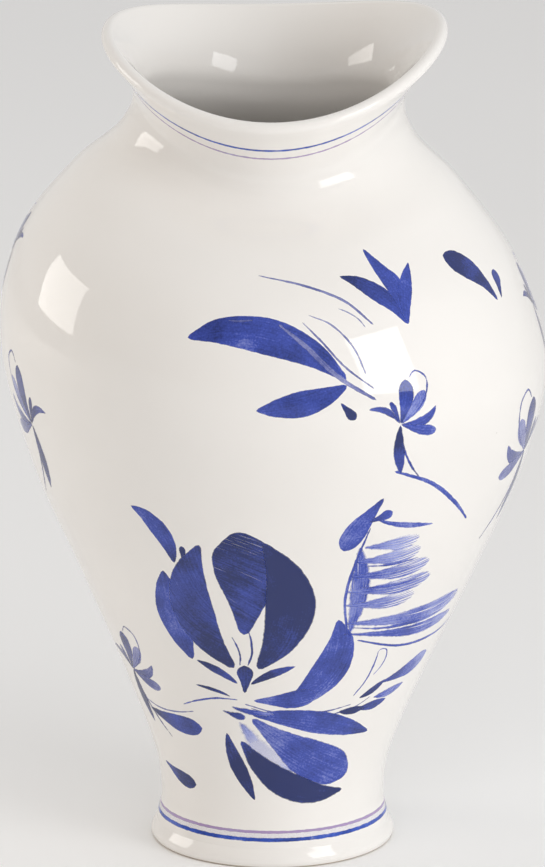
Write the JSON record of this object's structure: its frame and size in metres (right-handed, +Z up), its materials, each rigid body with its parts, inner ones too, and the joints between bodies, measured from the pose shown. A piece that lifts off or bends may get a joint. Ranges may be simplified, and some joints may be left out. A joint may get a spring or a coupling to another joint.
{
  "type": "porcelain vase",
  "caption": "Free-standing baluster vase in white glazed porcelain, with a narrow foot, a wave-shaped flared mouth, painted bands and a cobalt-blue brushed flower.",
  "frame": {"origin": "on the floor, in the middle of the foot", "axes": "+Z up through the mouth; -Y is the front, where the mouth dips lowest; +X is to the right as seen from the front"},
  "size_m": [0.2025, 0.2026, 0.3132],
  "materials": {
    "porcelain": "warm white porcelain under a clear gloss glaze",
    "foot_porcelain": "the same white porcelain, glazed outside and bare where it stands",
    "cobalt_blue": "cobalt-blue brush colour under a clear gloss glaze",
    "lilac": "thin lilac brush colour under a clear gloss glaze"
  },
  "bodies": {
    "root": {"foot_ring": "foot_porcelain", "base_disc": "porcelain", "lower_body": "porcelain", "upper_body": "porcelain", "mouth_collar": "porcelain", "foot_line_blue": "cobalt_blue", "foot_line_lilac": "lilac", "neck_line_blue": "cobalt_blue", "neck_line_lilac": "lilac"}
  },
  "joints": []
}
